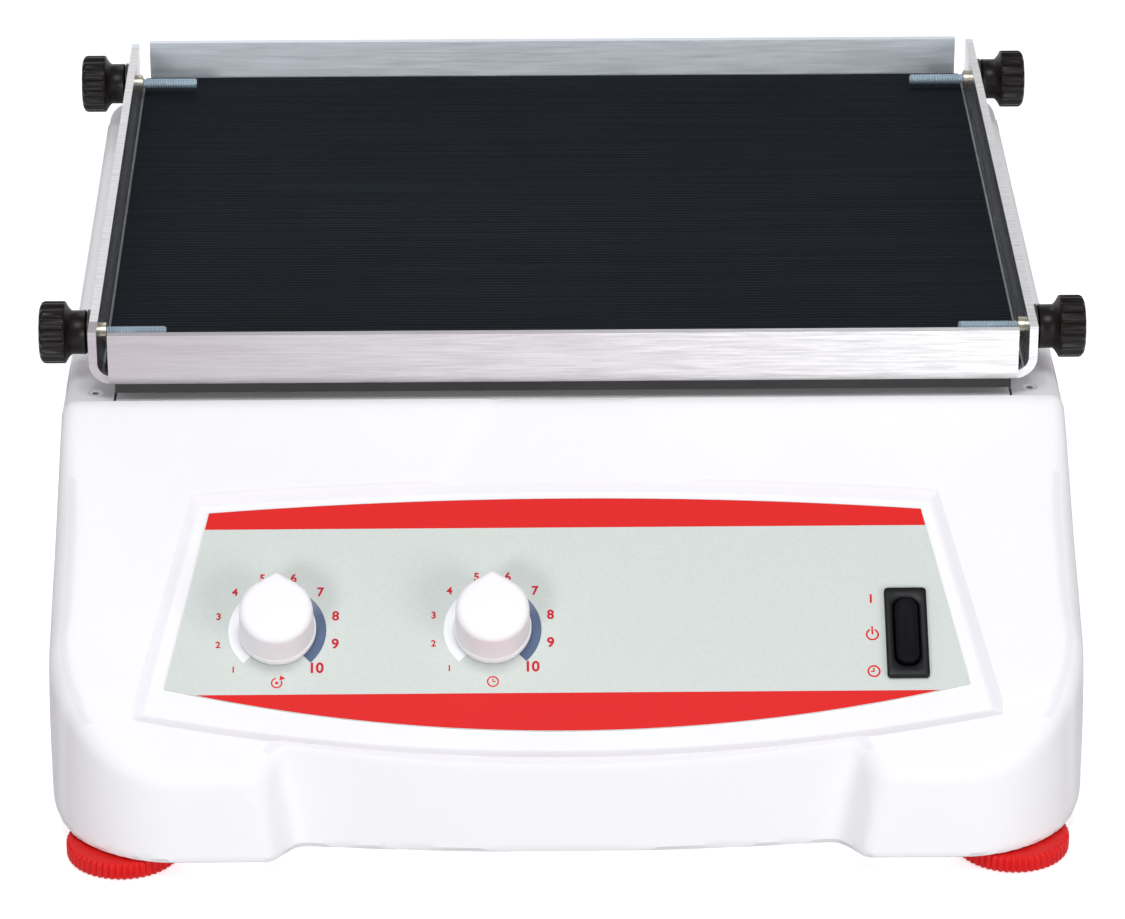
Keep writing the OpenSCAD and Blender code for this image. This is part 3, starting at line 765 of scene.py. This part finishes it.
def make_print():
    print_layer("band_top", [panel_outline(SHEET_EDGE, 0.15, bottom=BAND_TOP_Y)], INK_RED)
    print_layer("band_bottom", [panel_outline(SHEET_EDGE, 0.15, top=BAND_BOTTOM_Y)], INK_RED)
    for name, x in zip(("speed", "time"), DIAL_X):
        centre = on_slope() @ Vector((x * MM, -DIAL_S * MM, PRINT_Z * MM))
        ink = dial_band_ink(name + "_band_ink", centre, (0.86, 0.87, 0.90),
                            (0.075, 0.115, 0.21)).mat
        print_layer(name + "_band", [arc_band(x, -DIAL_S, *DIAL_BAND)], ink)
        bm = bmesh.new()
        # the numbers 1 to 10 grow and draw in a little as they go round
        for k in range(10):
            a, r = math.radians(-135 + 30 * k), 21.3 - 0.06 * k
            shift = 1.2 if k == 9 else 0
            mesh = numeral(str(k + 1), x + r * math.sin(a) - shift,
                           -DIAL_S + r * math.cos(a), 3.1 + 0.26 * k)
            bm.from_mesh(mesh)
            bpy.data.meshes.remove(mesh)
        finish_piece(mesh_object(name + "_scale", bm), "case", INK_DIGIT)
    # circling arrow under the left dial, clock under the right one
    x, y = DIAL_X[0], MARK_Y
    tip = [(x + 1.2, y + 2.9), (x + 3.0, y + 1.7), (x + 0.9, y + 0.9)]
    print_layer("speed_mark", [arc_band(x, y, 1.5, 2.0, 60, 350, 40), tip,
                               arc_band(x, y, 0.02, 0.55, 0, 359, 24)], INK_RED)
    x = DIAL_X[1]
    print_layer("time_mark", ring_pair(x, y, 1.6, 2.1)
                + [bar(x, y + 0.55, 0.4, 1.3), bar(x + 0.45, y - 0.05, 1.0, 0.4)], INK_RED)
    # beside the switch: a line, a power ring and a clock
    x = SWITCH_MARK_X
    print_layer("switch_marks",
                [bar(x, -79.2, 0.75, 3.4)]
                + [arc_band(x, -93.2, 1.7, 2.3, 24, 336, 40), bar(x, -91.6, 0.6, 3.2)]
                + ring_pair(x, -107.4, 1.7, 2.3)
                + [bar(x, -106.9, 0.5, 1.5), bar(x - 0.5, -107.45, 1.1, 0.45)], INK_RED)


# ---------------------------------------------------------------- knobs and switch

KNOB_R, NOSE_R, NOSE_BLUNT = 13, 15.4, 15.15


def knob_outline(scale, n=144):
    """Circle with two tangents that meet in a blunt nose on +Y, its radii passed to scale."""
    tip = math.acos(KNOB_R / NOSE_R)
    ring = []
    for a in turn_angles(n):
        off = abs((a - math.pi / 2 + math.pi) % (2 * math.pi) - math.pi)
        r = KNOB_R / math.cos(tip - off) if off < tip else KNOB_R
        if off < 0.2:
            r = min(r, NOSE_BLUNT - 1.6 * off * off)
        ring.append((scale(r) * math.cos(a), scale(r) * math.sin(a)))
    return ring


def make_knob(name, body, node, x):
    base = PRINT_Z + 0.5
    # (outset, height): a round skirt, then a barrel with the nose and a rounded top
    skirt = [(-1.6, 0.5), (-0.2, 0.0), (0.45, 0.0), (0.5, 0.25), (0.5, 2.0), (0.3, 2.35)]
    barrel = [(0.0, 2.5)] + [(-0.02 * k, 2.5 + k) for k in range(1, 12)]
    barrel += [(-0.25 - 2.4 * (1 - math.cos(a)), 14.4 + 2.4 * math.sin(a))
               for a in np.linspace(0, math.pi / 2, 9)]
    barrel += [(-4.2, 16.92), (-7, 17.0), (-10, 17.03), (-12.4, 17.04)]
    rings = [[(px, py, z) for px, py in knob_outline(lambda r: KNOB_R + d)] for d, z in skirt]
    for d, z in barrel:
        ring = knob_outline(lambda r: max(0.4, r + d * (1 if d > -4 else r / KNOB_R)))
        rings.append([(px, py, z) for px, py in ring])
    obj = placed(from_rings(name, rings), on_slope_mm(x, -DIAL_S, base))
    finish_piece(obj, body, KNOB_WHITE, [node], angle=50)


def rounded_rect(w, h, r, n=8):
    ring = []
    for cx, cy, a0 in ((w / 2 - r, h / 2 - r, 0), (-w / 2 + r, h / 2 - r, 90),
                       (-w / 2 + r, -h / 2 + r, 180), (w / 2 - r, -h / 2 + r, 270)):
        for a in np.radians(np.linspace(a0, a0 + 90, n)):
            ring.append((cx + r * math.cos(a), cy + r * math.sin(a)))
    return ring


def make_switch():
    low = PRINT_Z
    # bezel with a soft outer edge and a round-ended well
    stack = [(14.3, 34.3, 1.2, low), (14.7, 34.7, 1.3, low + 0.25), (14.7, 34.7, 1.3, low + 1.35),
             (14.3, 34.3, 1.25, low + 1.75), (13.7, 33.7, 1.2, low + 1.9),
             (10.3, 27.0, 3.6, low + 1.9), (9.4, 26.2, 3.8, low + 1.6), (8.9, 25.7, 3.9, low + 0.9),
             (8.6, 25.4, 4.0, low - 5.0), (11.0, 28.0, 4.0, low - 5.0), (11.4, 28.4, 4.0, low)]
    rings = [[(x, y, z) for x, y in rounded_rect(w, h, r)] for w, h, r, z in stack]
    bezel = placed(from_rings("bezel", rings, loop=True), on_slope_mm(*SWITCH))
    finish_piece(bezel, "case", SWITCH_BLACK, ["switch_bezel"], angle=45)
    # pill-shaped rocker, its two wings raised
    rings = []
    outline = rounded_rect(8.0, 24.6, 3.7, 12)
    for shrink, z_off in ((0, -5.5), (0, -0.9), (0.3, -0.4), (0.9, 0.0), (2.0, 0.25),
                          (3.2, 0.3), (3.8, 0.3)):
        ring = []
        for x, y in outline:
            f = 1 - shrink / 4.0
            px, py = x * f, y - math.copysign(min(abs(y), shrink), y)
            if z_off < -5:
                # the hidden foot is shorter, so that the rocker can tilt in its well
                ring.append((px, py * 0.91, z_off))
            else:
                ring.append((px, py, 1.35 + 1.45 * (py / 12.3) ** 2 + z_off))
        rings.append(ring)
    rocker = placed(from_rings("rocker_cap", rings), on_slope_mm(*SWITCH))
    finish_piece(rocker, "rocker_arm", ROCKER_BLACK, ["rocker"], angle=50)


# ---------------------------------------------------------------- tray furniture

RIB_PITCH, POINTS_PER_RIB = 2.4, 8
# height and inset of the mat's skirt, which follows the bends of the tray
MAT_SKIRT = ((1.9, 0.5), (1.2, 1.3), (0.5, 2.4), (0.0, 4.7))


def rib_height(x, y, phase):
    """How far the ribbed surface lies below the top of the mat; the ribs sway a little."""
    sway = 0.05 * math.sin(x / 47 + y / 31) + 0.04 * math.sin(x / 19 - y / 53)
    rib = 0.5 + 0.5 * math.cos(2 * math.pi * ((phase + sway) % 1))
    low = 0.08 * math.sin(x / 61 + 1.3) * math.sin(y / 23)
    return -0.15 - 0.75 * (1 - rib ** 0.7) + 0.4 * low


def make_mat():
    """Ribbed sheet in the mat solid's box, its ribs along X."""
    lo, hi = (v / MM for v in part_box("mat"))
    ys = np.arange(lo.y + 0.15, hi.y - 0.15, RIB_PITCH / POINTS_PER_RIB)
    xs = np.linspace(lo.x + 0.1, hi.x - 0.1, 25)
    bm = bmesh.new()
    grid = sheet(bm, [[Vector((x, y, hi.z + rib_height(x, y, (y - lo.y) / RIB_PITCH))) * MM
                       for x in xs] for y in ys])
    inner = grid[1:-1]
    edge = grid[0] + [r[-1] for r in inner] + grid[-1][::-1] + [r[0] for r in inner[::-1]]
    rim = edge
    for height, inset in MAT_SKIRT:
        low = [bm.verts.new((v.co.x * (1 - inset / hi.x), v.co.y, (lo.z + height) * MM))
               for v in edge]
        for i in range(len(rim)):
            j = (i + 1) % len(rim)
            bm.faces.new((rim[i], rim[j], low[j], low[i]))
        rim = low
    bm.faces.new(rim)
    mat = mesh_object("ribbed_mat", bm)
    finish_piece(mat, "platform", MAT_RUBBER, ["mat"], angle=60)


STUD_R, STUD_PITCH, THREAD_DEPTH, STUD_START = 2.0, 1.0, 0.33, 141.5
ROWS_PER_TURN, STUD_SIDES = 5, 26
FLUTES, FLUTE_DEPTH, FLUTE_HALF_W, POINTS_PER_FLUTE = 16, 1.15, 1.35, 10
RIBS, RIB_DEPTH, POINTS_PER_FOOT_RIB = 54, 0.75, 8
# (radius, height): a disc hollowed below over its pad, and a stem
FOOT_PROFILE = ((3.0, 0.9), (16.8, 0.9), (17.0, 0.75), (17.0, 0.15), (17.2, 0.0), (18.6, 0.0),
                (19.2, 0.1), (19.6, 0.4), (19.9, 0.9), (20.0, 1.3), (20.0, 5.2), (19.8, 5.65),
                (19.4, 6.0), (18.9, 6.2), (17.5, 6.2), (12.0, 6.2), (4.6, 6.2), (4.0, 6.5),
                (4.0, 30.9))


def thread_rings(length):
    """Stud along +Z whose rings ride up and down with the helix of its thread."""
    rows = int(length / STUD_PITCH * ROWS_PER_TURN)
    rings = []
    for k in range(rows + 1):
        z = length * k / rows
        end = min(1, z / 0.6, (length - z) / 0.6)
        ring = []
        for a in turn_angles(STUD_SIDES):
            crest = abs(2 * ((z / STUD_PITCH - a / (2 * math.pi)) % 1) - 1)
            q = STUD_R - THREAD_DEPTH * (1 - min(1, crest * 1.35)) - 0.4 * (1 - end)
            ring.append((q * math.cos(a), q * math.sin(a), z))
        rings.append(ring)
    return rings


def knob_profile(z0, z1):
    """(radius, height) of a clamp knob: neck, flare, fluted rim, domed cap with a dimple."""
    neck = [(2.1, z0 + 0.6), (2.6, z0), (7.4, z0), (8.0, z0 + 0.6), (7.85, z0 + 1.5),
            (7.85, z0 + 5.4)]
    flare = [(8.0 + 3.2 * t ** 1.6, z0 + 5.4 + 2.4 * t)
             for t in (0.15, 0.3, 0.5, 0.7, 0.85, 0.95)]
    rim = [(11.1, z0 + 8.0), (11.14, z0 + 8.4), (11.14, z1 - 2.1), (11.0, z1 - 1.5)]
    cap = [(10.6, z1 - 0.85), (9.8, z1 - 0.35), (8.9, z1 - 0.05), (8.2, z1), (7.6, z1 - 0.1),
           (7.3, z1 - 0.5), (6.9, z1 - 0.75), (3.5, z1 - 0.8), (0.3, z1 - 0.8)]
    return neck + flare + rim + cap


def fluted(r, z, a, zone):
    """Radius of a knob's rim, fluted between the two heights of zone."""
    d = abs((a * FLUTES / (2 * math.pi)) % 1 - 0.5) * 2 * math.pi / FLUTES * r
    dip = math.sqrt(max(0, 1 - (d / FLUTE_HALF_W) ** 2)) if d < FLUTE_HALF_W else 0
    keep = step(z, zone[0] - 0.7, zone[0]) * (1 - step(z, zone[1], zone[1] + 0.7))
    return r - FLUTE_DEPTH * dip * keep


def serrated(r, z, a):
    """Radius of a foot's disc, ribbed round its rim."""
    if r < 15:
        return r
    dip = 0.5 - 0.5 * math.cos(2 * math.pi * ((a * RIBS / (2 * math.pi)) % 1))
    return r - RIB_DEPTH * dip ** 1.5 * step(r, 17.4, 19.4)


def make_clamps():
    for side, s in (("l", -1), ("r", 1)):
        for end in "fr":
            k = end + side
            lo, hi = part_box("clamp_stud_" + k)
            # Z outwards along the screw
            at = (Matrix.Translation((0, (lo.y + hi.y) / 2, (lo.z + hi.z) / 2))
                  @ Matrix.Rotation(s * math.pi / 2, 4, "Y"))
            stud = placed(from_rings("stud_" + k, thread_rings((hi.x - lo.x) / MM)),
                          at @ Matrix.Translation((0, 0, STUD_START * MM)))
            finish_piece(stud, "clamp_screw_" + k, STUD_ZINC,
                         ["clamp_stud_" + k], angle=50)
            lo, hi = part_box("clamp_knob_" + k)
            z0, z1 = sorted((abs(lo.x) / MM, abs(hi.x) / MM))
            zone = (z0 + 8.6, z1 - 1.2)
            rings = lathe(knob_profile(z0, z1), FLUTES * POINTS_PER_FLUTE,
                          lambda r, z, a: fluted(r, z, a, zone))
            knob = placed(from_rings("clamp_grip_" + k, rings), at)
            finish_piece(knob, "clamp_screw_" + k, PHENOLIC,
                         ["clamp_knob_" + k], angle=50)


def make_feet():
    for end in "fr":
        for side in "lr":
            k = end + side
            lo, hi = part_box("foot_wheel_" + k)
            rings = lathe(FOOT_PROFILE, RIBS * POINTS_PER_FOOT_RIB, serrated)
            wheel = placed(from_rings("foot_disc_" + k, rings), Matrix.Translation(
                ((lo.x + hi.x) / 2, (lo.y + hi.y) / 2, lo.z)))
            finish_piece(wheel, "foot_screw_" + k, FOOT_RED,
                         ["foot_wheel_" + k], angle=50)


# ---------------------------------------------------------------- materials and build

FLOOR = floor_paper().mat
CASE_WHITE = case_plastic_with_painted_shade().mat
DECK_WHITE = cast("deck_white", (0.89, 0.88, 0.90), 0.5, 1400, 0.00004).mat
KNOB_WHITE = moulded("knob_white", (0.85, 0.835, 0.86), 0.4, grain=3000, depth=0.00001,
                     spec=0.2, tint=0.01).mat
SHEET_GREY = printed("overlay_grey", (0.60, 0.64, 0.615), 0.42).mat
INK_RED = printed("ink_red", (0.70, 0.012, 0.012), 0.45, 0.15).mat
INK_DIGIT = printed("ink_digit", (0.56, 0.010, 0.028), 0.45, 0.15).mat
SWITCH_BLACK = moulded("switch_black", (0.006, 0.006, 0.008), 0.4, 2200, 0.00002, 0.2).mat
ROCKER_BLACK = moulded("rocker_black", (0.006, 0.006, 0.009), 0.5, 2600, 0.00001, 0.05).mat
TRAY_METAL = tray_metal().mat
MAT_RUBBER = mat_surface().mat
CARRIER = cast("carrier_paint", (0.006, 0.005, 0.005), 0.6, 700, 0.0002).mat
STUD_ZINC = brushed("stud_zinc", (0.44, 0.56, 0.66), 0.5, 0, 1200, metal=0.6).mat
BRASS = brushed("insert_brass", (0.70, 0.66, 0.52), 0.32, 0, 1000).mat
PHENOLIC = moulded("clamp_phenolic", (0.007, 0.005, 0.0045), 0.34, 900, 0.00002, 0.2).mat
NYLON = moulded("washer_nylon", (0.03, 0.028, 0.026), 0.45, 1500, 0.00002).mat
FOOT_RED = moulded("foot_red", (0.70, 0.009, 0.009), 0.4, 1800, 0.00003, 0.2, 0.06).mat
PAD_RUBBER = rubber("foot_rubber", (0.02, 0.02, 0.02)).mat
ZINC = brushed("zinc_steel", (0.68, 0.69, 0.71), 0.34, 0, 700).mat
STEEL = brushed("bearing_steel", (0.62, 0.63, 0.65), 0.22, 2, 1500).mat
IRON = cast("weight_iron", (0.10, 0.10, 0.11), 0.5, 300, 0.0002, 0.6).mat
CAST_ALU = cast("cast_aluminium", (0.66, 0.67, 0.69), 0.42, 420, 0.00015, 1.0).mat
PSU = brushed("psu_aluminium", (0.74, 0.75, 0.77), 0.36, 1, 600).mat
BOARD = printed("board_green", (0.012, 0.075, 0.03), 0.35).mat
PARTS = moulded("component_black", (0.02, 0.02, 0.023), 0.4, 1500, 0.00003).mat
MOTOR = cast("motor_paint", (0.03, 0.032, 0.038), 0.4, 500, 0.0001).mat
BELT = rubber("belt_rubber", (0.012, 0.012, 0.013), 0.75, 1200).mat

# material slot of the record: its look
LOOKS = {
    "case_white": CASE_WHITE, "deck_white": DECK_WHITE, "knob_white": KNOB_WHITE,
    "overlay_grey": SHEET_GREY, "switch_black": SWITCH_BLACK, "rocker_black": ROCKER_BLACK,
    "tray_aluminium": TRAY_METAL, "mat_rubber": MAT_RUBBER, "carrier_paint": CARRIER,
    "stud_zinc": STUD_ZINC, "insert_brass": BRASS, "clamp_phenolic": PHENOLIC,
    "washer_nylon": NYLON, "foot_red": FOOT_RED, "foot_rubber": PAD_RUBBER,
    "zinc_steel": ZINC, "bearing_steel": STEEL, "weight_iron": IRON,
    "cast_aluminium": CAST_ALU, "psu_aluminium": PSU, "board_green": BOARD,
    "component_black": PARTS, "motor_paint": MOTOR, "belt_rubber": BELT,
}


def dress_cad():
    for part in frame["record"]["subparts"]:
        obj = NODES[part["node"]]
        obj.data.materials.clear()
        obj.data.materials.append(LOOKS[part["material_slot"]])
        smooth(obj, 30)


make_camera()
make_light()
make_floor()
dress_cad()
make_case()
make_print()
make_knob("speed_grip", "speed_dial", "speed_knob", DIAL_X[0])
make_knob("time_grip", "time_dial", "time_knob", DIAL_X[1])
make_switch()
make_mat()
make_clamps()
make_feet()
bpy.context.view_layer.update()
